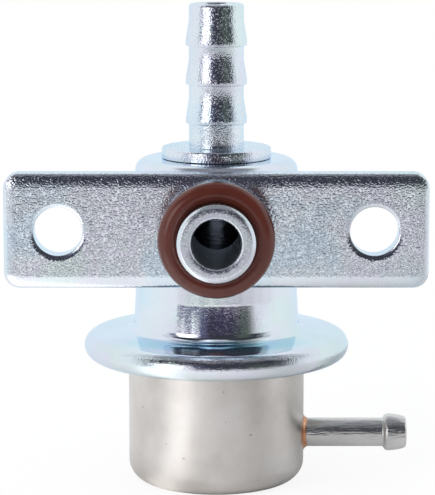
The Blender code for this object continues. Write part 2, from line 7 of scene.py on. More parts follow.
import bmesh
import bpy
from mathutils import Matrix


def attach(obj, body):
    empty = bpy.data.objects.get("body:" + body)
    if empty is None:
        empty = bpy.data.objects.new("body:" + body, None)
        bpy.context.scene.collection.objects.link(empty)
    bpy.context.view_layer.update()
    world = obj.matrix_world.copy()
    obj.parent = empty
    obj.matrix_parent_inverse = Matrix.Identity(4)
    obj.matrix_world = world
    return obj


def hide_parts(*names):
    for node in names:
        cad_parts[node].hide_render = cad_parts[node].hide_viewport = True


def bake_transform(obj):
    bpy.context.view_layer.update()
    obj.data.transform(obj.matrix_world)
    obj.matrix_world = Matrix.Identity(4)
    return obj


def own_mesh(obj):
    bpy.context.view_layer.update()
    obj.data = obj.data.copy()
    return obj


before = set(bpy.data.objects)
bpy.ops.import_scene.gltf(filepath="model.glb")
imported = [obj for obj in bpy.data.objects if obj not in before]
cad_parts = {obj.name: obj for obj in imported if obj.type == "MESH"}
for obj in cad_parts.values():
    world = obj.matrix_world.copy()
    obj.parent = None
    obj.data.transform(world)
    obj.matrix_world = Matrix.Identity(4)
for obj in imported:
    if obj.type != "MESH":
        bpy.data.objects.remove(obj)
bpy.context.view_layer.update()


# Studio. The part stands on a sheet of white card, between a tall softbox on its left and white
# walls, in front of the dark room that the camera stands in. The plating mirrors all of it.

CAMERA_PLACE = (0.00016, -0.33596, 0.08986)
CAMERA_PITCH_DOWN = 9.53
CAMERA_LENS = 174.55
CAMERA_SENSOR = 36.0

camera_data = bpy.data.cameras.new("camera")
camera_data.lens = CAMERA_LENS
camera_data.sensor_width = CAMERA_SENSOR
camera = bpy.data.objects.new("camera", camera_data)
camera.location = CAMERA_PLACE
camera.rotation_euler = (math.radians(90.0 - CAMERA_PITCH_DOWN), 0.0, 0.0)
bpy.context.scene.collection.objects.link(camera)
bpy.context.scene.camera = camera
bpy.context.scene.view_settings.view_transform = "Standard"


def add_node(tree, kind, settings=(), **values):
    """A shader node with its settings and its unlinked input values, by name with _ for a space."""
    node = tree.nodes.new(kind)
    for name, value in dict(settings).items():
        setattr(node, name, value)
    for name, value in values.items():
        node.inputs[name.replace("_", " ")].default_value = value
    return node


def calculate(tree, operation, first, second=0.0):
    """A Math node on two links or numbers; gives its output."""
    node = tree.nodes.new("ShaderNodeMath")
    node.operation = operation
    for socket, source in zip(node.inputs, (first, second)):
        if isinstance(source, (int, float)):
            socket.default_value = source
        else:
            tree.links.new(source, socket)
    return node.outputs[0]


def blend_colour(tree, factor, first, second, mode="MIX"):
    """A colour Mix node; factor and colours are links or values; gives its output."""
    node = tree.nodes.new("ShaderNodeMix")
    node.data_type = "RGBA"
    node.blend_type = mode
    for index, source in ((0, factor), (6, first), (7, second)):
        if isinstance(source, (int, float)):
            node.inputs[index].default_value = source
        elif isinstance(source, tuple):
            node.inputs[index].default_value = (*source, 1.0)
        else:
            tree.links.new(source, node.inputs[index])
    return node.outputs[2]


def ramp(tree, factor, stops):
    """A Color Ramp on a 0 to 1 link, from (position, colour) stops; gives its colour."""
    node = tree.nodes.new("ShaderNodeValToRGB")
    elements = node.color_ramp.elements
    while len(elements) < len(stops):
        elements.new(1.0)
    for element, (position, colour) in zip(elements, stops):
        element.position = position
        element.color = (*colour, 1.0)
    tree.links.new(factor, node.inputs[0])
    return node.outputs[0]


def split_xyz(tree, source):
    """The X, Y and Z of a vector link; gives the outputs by name."""
    node = add_node(tree, "ShaderNodeSeparateXYZ")
    tree.links.new(source, node.inputs[0])
    return node.outputs


def bearing_from(tree, direction):
    """Turn of a direction about Z as 0 to 1, where 0.5 is towards the camera; gives its output."""
    towards_camera = calculate(tree, "MULTIPLY", direction["Y"], -1.0)
    turn = calculate(tree, "ARCTAN2", direction["X"], towards_camera)
    return calculate(tree, "ADD", calculate(tree, "DIVIDE", turn, 2.0 * math.pi), 0.5)


def bearing_stops(bearings):
    """Turn stops in degrees right of the camera into the 0 to 1 places of a ramp."""
    return [(bearing / 360.0 + 0.5, colour) for bearing, colour in bearings]


WHITE = (1.0, 1.0, 1.0)
WALL_WHITE = (0.90, 0.96, 0.99)
WALL_LIGHT = (0.90, 0.92, 0.95)
ROOM_DARK = (0.042, 0.044, 0.058)
ROOM_PLUM = (0.044, 0.034, 0.090)
ROOM_NAVY = (0.13, 0.135, 0.24)
ROOM_OLIVE = (0.085, 0.105, 0.095)
TABLE_PALE = (0.78, 0.81, 0.84)
TABLE_GREY = (0.42, 0.45, 0.49)
TABLE_LEFT = (0.60, 0.63, 0.67)
TABLE_RIGHT = (0.60, 0.62, 0.65)
TABLE_FAR_LEFT = (1.16, 1.15, 1.15)
TABLE_FAR_FRONT = (1.04, 1.04, 1.05)
TABLE_FAR_RIGHT = (0.80, 0.81, 0.83)
SOFTBOX = (1.9, 1.9, 1.9)
CEILING_GREY = (0.26, 0.27, 0.30)
CLUTTER_SCALE = 7.0
CLUTTER_TURN = 0.07
CLUTTER_CLIMB = 0.05

world = bpy.data.worlds.new("studio")
bpy.context.scene.world = world
world.use_nodes = True
sky = world.node_tree
sky.nodes.clear()
sky_place = add_node(sky, "ShaderNodeTexCoord").outputs["Generated"]
direction = split_xyz(sky, sky_place)
clutter = add_node(sky, "ShaderNodeTexNoise", Scale=CLUTTER_SCALE, Detail=2.0)
sky.links.new(sky_place, clutter.inputs["Vector"])
ragged = calculate(sky, "SUBTRACT", clutter.outputs["Fac"], 0.5)
bearing = calculate(sky, "ADD", bearing_from(sky, direction),
                    calculate(sky, "MULTIPLY", ragged, CLUTTER_TURN))
climb = calculate(sky, "ADD", direction["Z"], calculate(sky, "MULTIPLY", ragged, CLUTTER_CLIMB))
table_near = ramp(sky, bearing, bearing_stops([
    (-180, WALL_WHITE), (-60, WALL_WHITE), (-52, TABLE_PALE), (-38, TABLE_LEFT), (-18, TABLE_GREY),
    (22, TABLE_GREY), (44, TABLE_RIGHT), (75, TABLE_PALE), (95, WALL_WHITE), (180, WALL_WHITE),
]))
table_far = ramp(sky, bearing, bearing_stops([
    (-180, WALL_WHITE), (-60, WALL_WHITE), (-52, TABLE_PALE), (-10, TABLE_FAR_LEFT),
    (10, TABLE_FAR_FRONT), (40, TABLE_FAR_RIGHT), (75, TABLE_PALE), (95, WALL_WHITE),
    (180, WALL_WHITE),
]))
room_low = ramp(sky, bearing, bearing_stops([
    (-180, WALL_WHITE), (-60, WALL_WHITE), (-50, ROOM_NAVY), (-25, ROOM_NAVY), (-8, ROOM_PLUM),
    (20, ROOM_PLUM), (30, ROOM_DARK), (38, ROOM_OLIVE), (46, ROOM_OLIVE), (56, TABLE_PALE),
    (66, WALL_WHITE), (180, WALL_WHITE),
]))
room = ramp(sky, bearing, bearing_stops([
    (-180, WALL_WHITE), (-72, WALL_WHITE), (-60, ROOM_NAVY), (-54, SOFTBOX), (-30, SOFTBOX),
    (-23, ROOM_NAVY), (-8, ROOM_DARK), (24, ROOM_DARK), (32, ROOM_OLIVE), (44, ROOM_OLIVE),
    (58, ROOM_DARK), (70, TABLE_GREY), (82, WALL_WHITE), (180, WALL_WHITE),
]))
room_high = ramp(sky, bearing, bearing_stops([
    (-180, WALL_WHITE), (-85, WALL_WHITE), (-68, ROOM_DARK), (76, ROOM_DARK), (92, WALL_WHITE),
    (180, WALL_WHITE),
]))

# What lies higher covers what lies lower, between two heights given as the sine of the angle
mirrored = table_near
for view, start, end in ((table_far, -0.186, -0.168), (room_low, -0.124, -0.106),
                         (room, -0.068, -0.057), (room_high, 0.40, 0.55),
                         (CEILING_GREY, 0.80, 0.93)):
    lift = add_node(sky, "ShaderNodeMapRange", {"interpolation_type": "SMOOTHSTEP"},
                    From_Min=start, From_Max=end)
    sky.links.new(climb, lift.inputs["Value"])
    mirrored = blend_colour(sky, lift.outputs[0], mirrored, view)
rays = add_node(sky, "ShaderNodeLightPath")
lit = blend_colour(sky, rays.outputs["Is Glossy Ray"], WALL_LIGHT, mirrored)
seen = blend_colour(sky, rays.outputs["Is Camera Ray"], lit, WHITE)
backdrop = add_node(sky, "ShaderNodeBackground", Strength=1.0)
sky.links.new(seen, backdrop.inputs["Color"])
sky.links.new(backdrop.outputs[0], add_node(sky, "ShaderNodeOutputWorld").inputs["Surface"])

CARD_RADIUS = 0.13
CARD_WHITE = (0.97, 0.97, 0.97)
CARD_GLOW = 0.88
# The card as the plating mirrors it is painted light: a painted pool of light towards the softbox on the
# left, painted shade round the right
CARD_PAINTED_LIGHT = ((-180, 0.87), (-68, 0.87), (-48, 1.42), (-36, 1.42), (-26, 1.02), (-14, 0.92), (0, 0.86),
              (24, 0.74), (55, 0.60), (84, 0.75), (112, 0.52), (180, 0.87))

bpy.ops.object.select_all(action="DESELECT")
bpy.ops.mesh.primitive_circle_add(vertices=96, radius=CARD_RADIUS, fill_type="NGON")
card = bpy.context.object
card.name = "white_card"
card_finish = bpy.data.materials.new("white_card")
card_finish.use_nodes = True
paper = card_finish.node_tree
paper.nodes.clear()
card_place = add_node(paper, "ShaderNodeTexCoord").outputs["Object"]
card_bearing = bearing_from(paper, split_xyz(paper, card_place))
# Painted pool of light and painted shade on the card, by bearing, seen only in reflections
painted_light_pool = ramp(paper, card_bearing, bearing_stops([(turn, (grey, grey, grey)) for turn, grey in CARD_PAINTED_LIGHT]))
card_rays = add_node(paper, "ShaderNodeLightPath")
matte = add_node(paper, "ShaderNodeBsdfDiffuse")
paper.links.new(blend_colour(paper, card_rays.outputs["Is Glossy Ray"], CARD_WHITE, painted_light_pool),
                matte.inputs["Color"])
glow = add_node(paper, "ShaderNodeEmission", Color=(1.0, 1.0, 1.0, 1.0), Strength=1.0)
mixed = add_node(paper, "ShaderNodeMixShader")
own_light = calculate(paper, "MULTIPLY", card_rays.outputs["Is Camera Ray"], CARD_GLOW)
paper.links.new(own_light, mixed.inputs[0])
paper.links.new(matte.outputs[0], mixed.inputs[1])
paper.links.new(glow.outputs[0], mixed.inputs[2])
paper.links.new(mixed.outputs[0], add_node(paper, "ShaderNodeOutputMaterial").inputs["Surface"])
card.data.materials.append(card_finish)

SOFTBOX_WIDTH = 0.28
SOFTBOX_HEIGHT = 0.5
SOFTBOX_POWER = 1.2
SOFTBOX_PLACE = (-0.33, -0.38, 0.30)
SOFTBOX_TILT = 60.0
SOFTBOX_TURN = -41.0

softbox_data = bpy.data.lights.new("left_softbox", "AREA")
softbox_data.shape = "RECTANGLE"
softbox_data.size = SOFTBOX_WIDTH
softbox_data.size_y = SOFTBOX_HEIGHT
softbox_data.energy = SOFTBOX_POWER
softbox = bpy.data.objects.new("left_softbox", softbox_data)
softbox.location = SOFTBOX_PLACE
softbox.rotation_euler = (math.radians(SOFTBOX_TILT), 0.0, math.radians(SOFTBOX_TURN))
softbox.visible_glossy = False
bpy.context.scene.collection.objects.link(softbox)


# Spring can. Deep drawn from steel sheet, its rim flared out under the housing's rolled seam, and
# nickel plated to a warm satin. The drawing die leaves faint upright lines on the wall.

CAN_RADIUS = 0.0125
CAN_WALL = 0.0010
CAN_CORNER = 0.0029
CAN_DEPTH = 0.0189
CAN_FLARE = 0.0010
RIM_RADIUS = 0.016885
CAN_EDGE = 0.00005
FIT = 0.00006
NIPPLE_HEIGHT = 0.0066
NIPPLE_RADIUS = 0.00205
NIPPLE_HOLE_START = CAN_RADIUS - 0.003
NIPPLE_HOLE_END = CAN_RADIUS + 0.002
SPIN_SIDES = 144
SMALL_SIDES = 96
MERGE_DISTANCE = 0.000002
SHARP_ANGLE = 35.0
NICKEL_SHADES = ((0.625, 0.582, 0.545), (0.695, 0.652, 0.612), (0.750, 0.712, 0.678))
NICKEL_PIT = (0.42, 0.39, 0.36)


def start_profile(name, radius, height):
    """Begin a piece as one point of the profile that is later spun about Z."""
    bpy.ops.object.select_all(action="DESELECT")
    bpy.ops.mesh.primitive_plane_add(size=0.001)
    piece = bpy.context.object
    piece.name = name
    bpy.ops.object.mode_set(mode="EDIT")
    bpy.ops.mesh.select_mode(type="VERT")
    bpy.ops.mesh.merge(type="CENTER")
    bpy.ops.transform.translate(value=(radius, 0.0, height))
    return piece


def line_to(radius, height):
    """Extrude the profile's end point straight to this radius and height."""
    points = bmesh.from_edit_mesh(bpy.context.object.data).verts
    here = next(point.co for point in points if point.select)
    step = (radius - here.x, 0.0, height - here.z)
    bpy.ops.mesh.extrude_region_move(TRANSFORM_OT_translate={"value": step})


def bend(radius, height, degrees, steps=8):
    """Spin the profile's end point about a centre, counter-clockwise if degrees is above 0."""
    bpy.ops.mesh.spin(steps=steps, angle=math.radians(degrees), center=(radius, 0.0, height),
                      axis=(0.0, 1.0, 0.0))


def spin_profile(sides=SPIN_SIDES):
    """Spin the whole profile about Z into a closed skin that faces outwards."""
    bpy.ops.mesh.select_all(action="SELECT")
    bpy.ops.mesh.spin(steps=sides, angle=2.0 * math.pi, center=(0.0, 0.0, 0.0), axis=(0.0, 0.0, 1.0))
    bpy.ops.mesh.select_all(action="SELECT")
    bpy.ops.mesh.remove_doubles(threshold=MERGE_DISTANCE)
    bpy.ops.mesh.normals_make_consistent(inside=False)
    bpy.ops.object.mode_set(mode="OBJECT")


def lay_along(axis, height):
    """Turn the active piece so that its +Z points along -Y or +X, on an axis at this height."""
    turn_axis = {"-Y": "X", "+X": "Y"}[axis]
    bpy.ops.object.mode_set(mode="EDIT")
    bpy.ops.mesh.select_all(action="SELECT")
    bpy.ops.transform.rotate(value=math.radians(-90.0), orient_axis=turn_axis,
                             center_override=(0.0, 0.0, 0.0))
    bpy.ops.transform.translate(value=(0.0, 0.0, height))
    bpy.ops.object.mode_set(mode="OBJECT")


def apply_modifiers(piece):
    """Apply what is on the piece, in order."""
    bpy.context.view_layer.objects.active = piece
    for modifier in list(piece.modifiers):
        bpy.ops.object.modifier_apply(modifier=modifier.name)


def break_edges(piece, width, steps=2):
    """Round every sharp edge a little and let the large faces steer the shading."""
    piece.data.shade_smooth()
    rounding = piece.modifiers.new("edges", "BEVEL")
    rounding.width = width
    rounding.segments = steps
    rounding.limit_method = "ANGLE"
    rounding.angle_limit = math.radians(SHARP_ANGLE)
    shading = piece.modifiers.new("shading", "WEIGHTED_NORMAL")
    shading.keep_sharp = True
    shading.weight = 90
    apply_modifiers(piece)


def bore(piece, name, radius, start, end, axis, height):
    """Cut a plain round hole through the piece."""
    cutter = start_profile(name, 0.0, start)
    line_to(radius, start)
    line_to(radius, end)
    line_to(0.0, end)
    spin_profile(SMALL_SIDES)
    lay_along(axis, height)
    subtract(piece, cutter)


def subtract(piece, cutter):
    """Cut the piece with a cutter, which is then thrown away."""
    hole = piece.modifiers.new(cutter.name, "BOOLEAN")
    hole.operation = "DIFFERENCE"
    hole.solver = "EXACT"
    hole.object = cutter
    apply_modifiers(piece)
    bpy.data.objects.remove(cutter)


def put_on(piece, material, body, slot, *nodes):
    """Give a finished piece its material, the body it moves with and the nodes it stands for."""
    piece.data.materials.clear()
    piece.data.materials.append(material)
    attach(piece, body)
    if nodes:
        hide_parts(*nodes)


def effect_group(name, inputs, outputs):
    """An empty shader node group with its sockets; gives the tree, its inputs and its outputs."""
    group = bpy.data.node_groups.new(name, "ShaderNodeTree")
    for label, value in inputs:
        socket = group.interface.new_socket(name=label, in_out="INPUT", socket_type="NodeSocketFloat")
        socket.default_value = value
    for label, kind in outputs:
        group.interface.new_socket(name=label, in_out="OUTPUT", socket_type=kind)
    return group, group.nodes.new("NodeGroupInput").outputs, group.nodes.new("NodeGroupOutput").inputs


def even_stops(colours):
    """Ramp stops that spread the colours evenly from 0 to 1."""
    return [(index / (len(colours) - 1), colour) for index, colour in enumerate(colours)]


def place_effect(tree, group, **values):
    """Put an effect group into a material with its own values; gives its outputs."""
    node = tree.nodes.new("ShaderNodeGroup")
    node.node_tree = group
    for name, value in values.items():
        node.inputs[name.replace("_", " ")].default_value = value
    return node.outputs


def new_material(name, metallic, roughness, specular_tint=None):
    """A Principled material; gives the material, its tree and its shader."""
    material = bpy.data.materials.new(name)
    material.use_nodes = True
    tree = material.node_tree
    shader = tree.nodes["Principled BSDF"]
    shader.inputs["Metallic"].default_value = metallic
    shader.inputs["Roughness"].default_value = roughness
    if specular_tint:
        shader.inputs["Specular Tint"].default_value = (*specular_tint, 1.0)
    return material, tree, shader


# Effect: fine marks drawn out along one axis, as a die or a turning tool leaves them
drawn_marks, marks_in, marks_out = effect_group(
    "drawn_marks",
    [("Along X", 1.0), ("Along Y", 1.0), ("Along Z", 1.0), ("Scale", 2000.0), ("Height", 0.00001)],
    [("Normal", "NodeSocketVector"), ("Marks", "NodeSocketFloat")],
)
marks_place = add_node(drawn_marks, "ShaderNodeTexCoord").outputs["Object"]
marks_stretch = add_node(drawn_marks, "ShaderNodeVectorMath", {"operation": "MULTIPLY"})
marks_factors = add_node(drawn_marks, "ShaderNodeCombineXYZ")
for index, label in enumerate(("Along X", "Along Y", "Along Z")):
    drawn_marks.links.new(marks_in[label], marks_factors.inputs[index])
drawn_marks.links.new(marks_place, marks_stretch.inputs[0])
drawn_marks.links.new(marks_factors.outputs[0], marks_stretch.inputs[1])
marks_noise = add_node(drawn_marks, "ShaderNodeTexNoise", Detail=3.0, Roughness=0.6)
drawn_marks.links.new(marks_stretch.outputs[0], marks_noise.inputs["Vector"])
drawn_marks.links.new(marks_in["Scale"], marks_noise.inputs["Scale"])
marks_bump = add_node(drawn_marks, "ShaderNodeBump", Strength=1.0)
drawn_marks.links.new(marks_noise.outputs["Fac"], marks_bump.inputs["Height"])
drawn_marks.links.new(marks_in["Height"], marks_bump.inputs["Distance"])
drawn_marks.links.new(marks_bump.outputs[0], marks_out["Normal"])
drawn_marks.links.new(marks_noise.outputs["Fac"], marks_out["Marks"])

# Effect: slow change of tone over a surface, as of an uneven plating bath and of handling
uneven_tone, tone_in, tone_out = effect_group(
    "uneven_tone",
    [("Scale", 90.0), ("Contrast", 0.5)],
    [("Tone", "NodeSocketFloat"), ("Hue", "NodeSocketFloat")],
)
tone_place = add_node(uneven_tone, "ShaderNodeTexCoord").outputs["Object"]
for label, shift in (("Tone", 0.0), ("Hue", 0.37)):
    tone_shift = add_node(uneven_tone, "ShaderNodeVectorMath", {"operation": "ADD"})
    tone_shift.inputs[1].default_value = (shift, shift, shift)
    uneven_tone.links.new(tone_place, tone_shift.inputs[0])
    tone_noise = add_node(uneven_tone, "ShaderNodeTexNoise", Detail=4.0, Roughness=0.55)
    uneven_tone.links.new(tone_shift.outputs[0], tone_noise.inputs["Vector"])
    uneven_tone.links.new(tone_in["Scale"], tone_noise.inputs["Scale"])
    spread = calculate(uneven_tone, "MULTIPLY",
                       calculate(uneven_tone, "SUBTRACT", tone_noise.outputs["Fac"], 0.5),
                       calculate(uneven_tone, "MULTIPLY", tone_in["Contrast"], 4.0))
    level = calculate(uneven_tone, "ADD", spread, 0.5)
    uneven_tone.links.new(level, tone_out[label])

nickel, tree, shader = new_material("satin_nickel", 1.0, 0.34)
marks = place_effect(tree, drawn_marks, Along_Z=0.03, Scale=2600.0, Height=0.000009)
tone = place_effect(tree, uneven_tone, Scale=130.0, Contrast=0.9)
colour = ramp(tree, tone["Tone"], even_stops(NICKEL_SHADES))
pit_noise = add_node(tree, "ShaderNodeTexNoise", Scale=1500.0, Detail=0.0)
tree.links.new(add_node(tree, "ShaderNodeTexCoord").outputs["Object"], pit_noise.inputs["Vector"])
pits = add_node(tree, "ShaderNodeMapRange", From_Min=0.845, From_Max=0.88)
tree.links.new(pit_noise.outputs["Fac"], pits.inputs["Value"])
tree.links.new(blend_colour(tree, pits.outputs[0], colour, NICKEL_PIT), shader.inputs["Base Color"])
roughness = add_node(tree, "ShaderNodeMapRange", To_Min=0.25, To_Max=0.36)
tree.links.new(marks["Marks"], roughness.inputs["Value"])
tree.links.new(roughness.outputs[0], shader.inputs["Roughness"])
tree.links.new(marks["Normal"], shader.inputs["Normal"])

can = start_profile("spring_can_shell", 0.0, 0.0)
line_to(CAN_RADIUS - CAN_CORNER, 0.0)
bend(CAN_RADIUS - CAN_CORNER, CAN_CORNER, 90, steps=12)
line_to(CAN_RADIUS, CAN_DEPTH - CAN_FLARE)
bend(CAN_RADIUS + CAN_FLARE, CAN_DEPTH - CAN_FLARE, -90)
line_to(RIM_RADIUS, CAN_DEPTH)
line_to(RIM_RADIUS, CAN_DEPTH + CAN_WALL)
line_to(CAN_RADIUS + CAN_FLARE, CAN_DEPTH + CAN_WALL)
bend(CAN_RADIUS + CAN_FLARE, CAN_DEPTH - CAN_FLARE, 90)
line_to(CAN_RADIUS - CAN_WALL, CAN_CORNER)
bend(CAN_RADIUS - CAN_CORNER, CAN_CORNER, -90, steps=12)
line_to(0.0, CAN_WALL)
spin_profile()
bore(can, "nipple_hole", NIPPLE_RADIUS + FIT, NIPPLE_HOLE_START, NIPPLE_HOLE_END, "+X", NIPPLE_HEIGHT)
break_edges(can, CAN_EDGE, 1)
put_on(can, nickel, "housing", "nickel_plate", "spring_can")


# Spring rest, diaphragm plates, valve carrier and valve seat, pressed or turned from plain steel.
# The rest centres the main spring on the can's floor. The plates and the carrier are riveted together
# through the diaphragm, and the seat is pressed into the end of the return pipe.

STEEL_SHADES = ((0.50, 0.51, 0.53), (0.66, 0.66, 0.67))


def toned_material(name, metallic, roughness, shades, tone, effect=None, relief=None):
    """A material whose shade drifts over the surface; an effect group can give it a relief."""
    material, tree, shader = new_material(name, metallic, roughness)
    drift = place_effect(tree, uneven_tone, **tone)
    tree.links.new(ramp(tree, drift["Tone"], even_stops(shades)), shader.inputs["Base Color"])
    if effect:
        tree.links.new(place_effect(tree, effect, **relief)["Normal"], shader.inputs["Normal"])
    return material


def refinish(material, slot, *nodes):
    """Give carried-over nodes a better material."""
    for name in nodes:
        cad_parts[name].data.materials.clear()
        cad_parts[name].data.materials.append(material)


pressed_steel = toned_material(
    "pressed_steel", 1.0, 0.32, STEEL_SHADES, tone={"Scale": 160.0, "Contrast": 0.6},
    effect=drawn_marks, relief={"Along_Z": 12.0, "Scale": 900.0, "Height": 0.000012},
)
refinish(pressed_steel, "turned_steel", "spring_rest", "lower_spring_plate", "upper_diaphragm_plate",
         "valve_carrier", "valve_seat")


# Main spring, wound from dark oiled spring wire, its end coils closed and ground flat. It stands in
# the spring rest, and shortens as the valve carriage is pushed down. The ball's spring is like it.

SPRING_FOOT = 0.00182
SPRING_LENGTH = 0.01742
SPRING_RADIUS = 0.0063
SPRING_WIRE = 0.0017
SPRING_TURNS = 5.5
CLOSED_RISE = 0.00178
CLOSED_TURNS = 0.9
EASE_TURNS = 0.4
STEPS_PER_TURN = 48
WIRE_SHADES = ((0.10, 0.10, 0.11), (0.24, 0.23, 0.22))

oiled_wire = toned_material(
    "oiled_spring_wire", 0.9, 0.38, WIRE_SHADES, tone={"Scale": 300.0, "Contrast": 0.7},
    effect=drawn_marks, relief={"Scale": 1800.0, "Height": 0.000010},
)
refinish(oiled_wire, "spring_steel", "ball_spring")

coil = bpy.data.curves.new("main_spring_coil", "CURVE")
coil.dimensions = "3D"
coil.bevel_depth = SPRING_WIRE / 2
coil.bevel_resolution = 6
coil.use_fill_caps = True
winding = coil.splines.new("POLY")
winding_steps = round(SPRING_TURNS * STEPS_PER_TURN)
winding.points.add(winding_steps)
open_turns = SPRING_TURNS - 2 * CLOSED_TURNS - EASE_TURNS
open_extra = (SPRING_LENGTH - CLOSED_RISE * SPRING_TURNS) / open_turns
height = SPRING_FOOT
for step, point in enumerate(winding.points):
    turn = step / STEPS_PER_TURN
    angle = 2 * math.pi * turn
    point.co = (SPRING_RADIUS * math.cos(angle), SPRING_RADIUS * math.sin(angle), height, 1.0)
    middle = turn + 0.5 / STEPS_PER_TURN
    past_closed = min(middle, SPRING_TURNS - middle) - CLOSED_TURNS
    opened = min(max(past_closed / EASE_TURNS, 0.0), 1.0)
    height += (CLOSED_RISE + open_extra * opened) / STEPS_PER_TURN
spring = bpy.data.objects.new("main_spring_coil", coil)
bpy.context.scene.collection.objects.link(spring)
bpy.ops.object.select_all(action="DESELECT")
spring.select_set(True)
bpy.context.view_layer.objects.active = spring
bpy.ops.object.convert(target="MESH")
bpy.ops.mesh.primitive_cylinder_add(vertices=64, radius=SPRING_RADIUS + SPRING_WIRE, depth=SPRING_LENGTH,
                                    location=(0.0, 0.0, SPRING_FOOT + SPRING_LENGTH / 2))
ground = bpy.context.object
bpy.ops.object.transform_apply(location=True, rotation=True, scale=True)
grinding = spring.modifiers.new("ground_ends", "BOOLEAN")
grinding.operation = "INTERSECT"
grinding.solver = "EXACT"
grinding.object = ground
apply_modifiers(spring)
bpy.data.objects.remove(ground)
bpy.ops.object.select_all(action="DESELECT")
spring.select_set(True)
bpy.ops.object.shade_smooth_by_angle(angle=math.radians(SHARP_ANGLE))
put_on(spring, oiled_wire, "housing", "spring_steel", "main_spring")
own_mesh(spring)


# Diaphragm, black rubber moulded on fabric, clamped in the rolled seam and between the carriage's
# plates. Its one fold rolls as the carriage moves; the piece is spun as sectors, which are then joined.

DIAPHRAGM_BOTTOM = 0.01996
DIAPHRAGM_THICKNESS = 0.00065
DIAPHRAGM_HOLE = 0.00326
FOLD_START = 0.0084
FOLD_END = 0.0128
FOLD_DEPTH = 0.0016
FOLD_STEPS = 28
SECTORS = 16
SECTOR_STEPS = 9
RUBBER_SHADES = ((0.025, 0.025, 0.026), (0.06, 0.06, 0.058))

diaphragm_rubber = toned_material(
    "diaphragm_rubber", 0.0, 0.62, RUBBER_SHADES, tone={"Scale": 120.0, "Contrast": 0.5},
    effect=drawn_marks, relief={"Scale": 3000.0, "Height": 0.00003},
)

surface = [(DIAPHRAGM_HOLE, 0.0)]
for step in range(FOLD_STEPS + 1):
    share = step / FOLD_STEPS
    surface.append((FOLD_START + (FOLD_END - FOLD_START) * share,
                    FOLD_DEPTH / 2 * (math.cos(2 * math.pi * share) - 1)))
surface.append((RIM_RADIUS, 0.0))
outline = [(radius, DIAPHRAGM_BOTTOM + height) for radius, height in surface]
outline += [(radius, DIAPHRAGM_BOTTOM + DIAPHRAGM_THICKNESS + height)
            for radius, height in reversed(surface)]
sectors = []
for sector in range(SECTORS):
    piece = start_profile("diaphragm_moulded", *outline[0])
    for radius, height in outline[1:] + outline[:1]:
        line_to(radius, height)
    bpy.ops.mesh.select_all(action="SELECT")
    bpy.ops.mesh.remove_doubles(threshold=MERGE_DISTANCE)
    bpy.ops.mesh.select_all(action="SELECT")
    bpy.ops.mesh.spin(steps=SECTOR_STEPS, angle=2 * math.pi / SECTORS, center=(0.0, 0.0, 0.0),
                      axis=(0.0, 0.0, 1.0))
    bpy.ops.mesh.select_all(action="SELECT")
    bpy.ops.transform.rotate(value=2 * math.pi * sector / SECTORS, orient_axis="Z",
                             center_override=(0.0, 0.0, 0.0))
    bpy.ops.object.mode_set(mode="OBJECT")
    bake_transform(piece)
    sectors.append(piece)
bpy.ops.object.select_all(action="DESELECT")
for piece in sectors:
    piece.select_set(True)
diaphragm = sectors[0]
bpy.context.view_layer.objects.active = diaphragm
bpy.ops.object.join()
bpy.ops.object.mode_set(mode="EDIT")
bpy.ops.mesh.select_all(action="SELECT")
bpy.ops.mesh.remove_doubles(threshold=MERGE_DISTANCE)
bpy.ops.mesh.normals_make_consistent(inside=False)
bpy.ops.object.mode_set(mode="OBJECT")
bpy.ops.object.shade_smooth_by_angle(angle=math.radians(SHARP_ANGLE))
diaphragm.data.materials.append(diaphragm_rubber)
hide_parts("diaphragm")


# Valve ball of polished bearing steel with a ground flat that closes the seat. It swivels in the
# carrier's socket, where a turned brass ring keeps it in.

BALL_RADIUS = 0.0035
BALL_CENTRE = 0.02618
BALL_FLAT_HEIGHT = 0.00196
BALL_EDGE = 0.00004
BALL_SHADES = ((0.68, 0.68, 0.69), (0.80, 0.80, 0.81))
BRASS_SHADES = ((0.60, 0.40, 0.17), (0.78, 0.58, 0.30))

bearing_steel = toned_material("bearing_steel", 1.0, 0.09, BALL_SHADES,
                               tone={"Scale": 200.0, "Contrast": 0.4})
ball = start_profile("valve_ball_ground", 0.0, BALL_CENTRE - BALL_RADIUS)
flat_edge = math.degrees(math.asin(BALL_FLAT_HEIGHT / BALL_RADIUS))
bend(0.0, BALL_CENTRE, 90 + flat_edge, steps=32)
line_to(0.0, BALL_CENTRE + BALL_FLAT_HEIGHT)
spin_profile(SMALL_SIDES)
break_edges(ball, BALL_EDGE)
put_on(ball, bearing_steel, "valve_ball", "ball_steel", "valve_ball")

plain_brass = toned_material(
    "plain_brass", 1.0, 0.28, BRASS_SHADES, tone={"Scale": 200.0, "Contrast": 0.6},
    effect=drawn_marks, relief={"Along_Z": 12.0, "Scale": 900.0, "Height": 0.00001},
)
refinish(plain_brass, "brass", "ball_retainer")


# Upper housing. Deep drawn from steel sheet, its lower edge rolled round the can's rim into the fat
# seam, and zinc plated with a clear blue passivation that leaves a fine orange-peel grain.

HOUSING_RADIUS = 0.01148
HOUSING_WALL = 0.0010
HOUSING_TOP = 0.04637
HOUSING_SHOULDER = 0.00175
HOUSING_BASE = 0.0015
HOUSING_SIDES = 160
HOUSING_EDGE = 0.00008
BELL_START = 0.0274
BELL_EASE = 0.0004
BELL_EASE_SHARE = 0.04
BELL_MIDDLE = 0.0253
BELL_MIDDLE_SHARE = 0.42
BELL_OUT = 0.00025
FLANGE_TOP = 0.02167
FLANGE_CREASE = 0.0158
FLANGE_CREASE_SHARE = 0.2
FLANGE_DROP = 0.0002
SEAM_REACH = 0.0188
SEAM_BOTTOM = 0.01784
SEAM_ROUND = (FLANGE_TOP - FLANGE_DROP - SEAM_BOTTOM) / 2
SEAM_MIDDLE = SEAM_BOTTOM + SEAM_ROUND
SEAM_RADIUS = SEAM_REACH - SEAM_ROUND
SEAM_LIP = 0.0014
PIPE_RADIUS = 0.00386
SPIGOT_RADIUS = 0.00525
INLET_HEIGHT = 0.03797
INLET_HOLE_START = 0.005
INLET_HOLE_END = 0.014
ZINC_TINT = (0.84, 0.93, 1.0)
